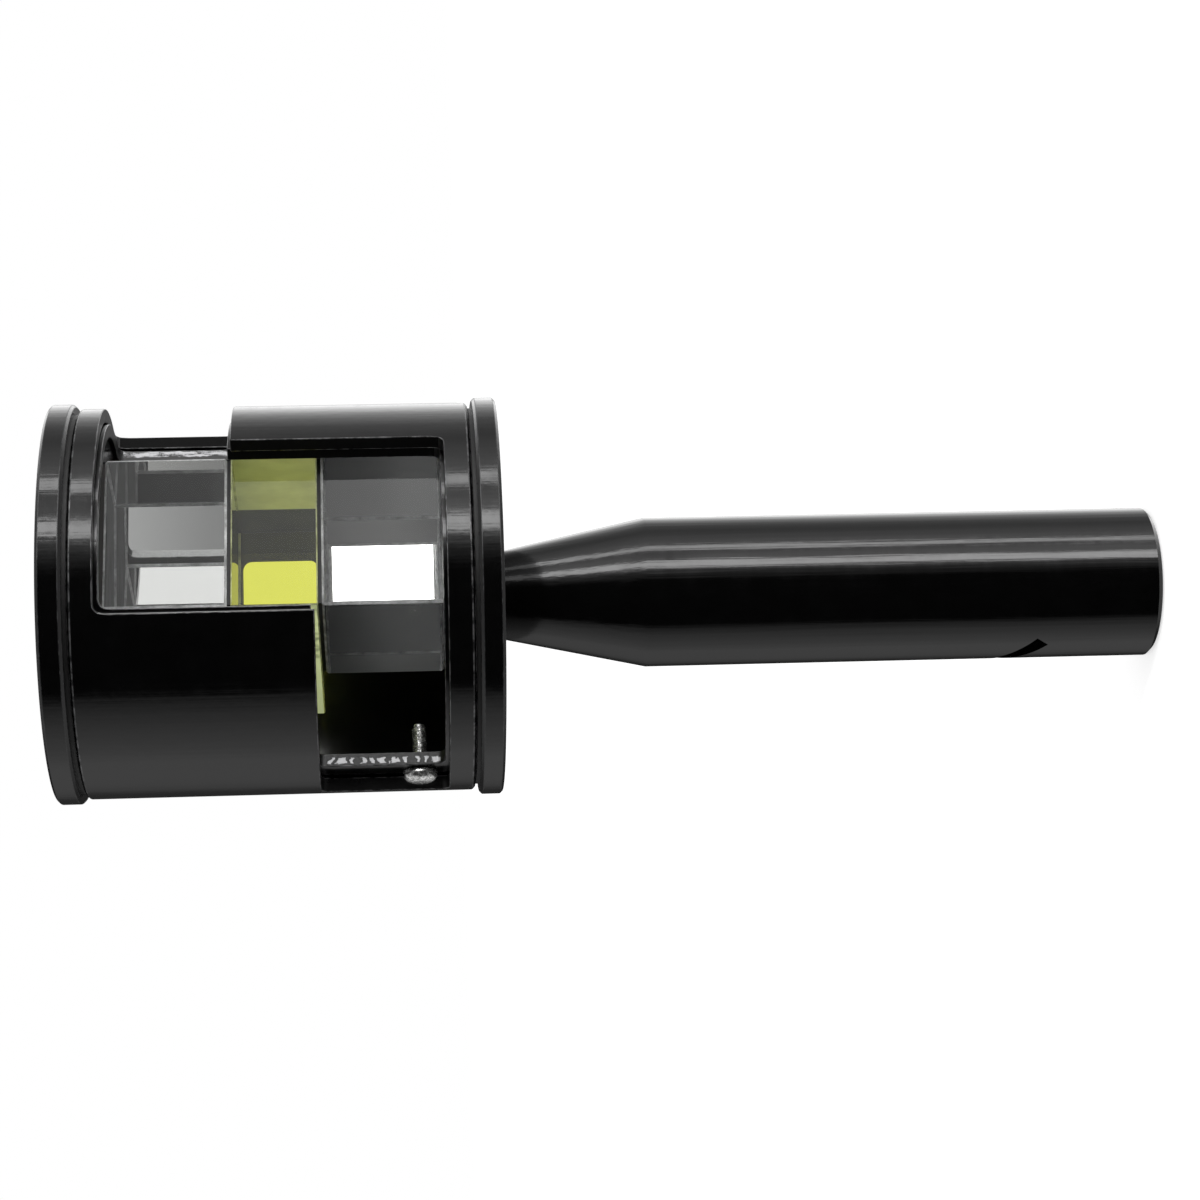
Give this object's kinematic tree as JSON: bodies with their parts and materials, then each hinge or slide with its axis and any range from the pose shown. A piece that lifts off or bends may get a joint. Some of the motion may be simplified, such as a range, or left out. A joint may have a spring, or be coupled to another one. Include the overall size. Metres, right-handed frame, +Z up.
{
  "type": "optical square",
  "caption": "Hand-held optical square: pentagonal prisms above and below a tinted sight block in a round head with a turning shutter sleeve, on a hollow handle.",
  "frame": {"origin": "centre of the mouth of the socket at the handle's open end", "axes": "+Z up the handle to the head, -Y towards the user's eye, which is where the glass faces look; +X is the side that the upper prism looks to"},
  "size_m": [0.0424, 0.0424, 0.1174],
  "materials": {
    "black_anodised": "black anodised, fine turned",
    "screw_steel": "bright",
    "ring_plastic": "matte",
    "pad_rubber": "matte",
    "black_mask": "matte",
    "clear_glass": "polished, reflecting faces silvered",
    "tinted_glass": "polished, yellow-green"
  },
  "bodies": {
    "instrument": {"handle": "black_anodised", "base_flange": "black_anodised", "handle_screw": "screw_steel", "lock_washer": "screw_steel", "body_tube": "black_anodised", "top_cap": "black_anodised", "lower_friction_ring": "ring_plastic", "upper_friction_ring": "ring_plastic", "seat_pad": "pad_rubber", "lower_prism": "clear_glass", "lower_separator": "black_mask", "sight_block": "tinted_glass", "upper_separator": "black_mask", "upper_prism": "clear_glass", "clamp_pad": "pad_rubber", "stop_screw": "screw_steel", "base_set_screws": "screw_steel", "cap_set_screws": "screw_steel"},
    "shutter": {"shutter_sleeve": "black_anodised"}
  },
  "joints": [
    {"name": "shutter_turn", "type": "hinge", "parent": "instrument", "child": "shutter", "pos_m": [0, 0, 0.0939], "axis": [0, 0, 1], "range_deg": [-121, 0]}
  ]
}
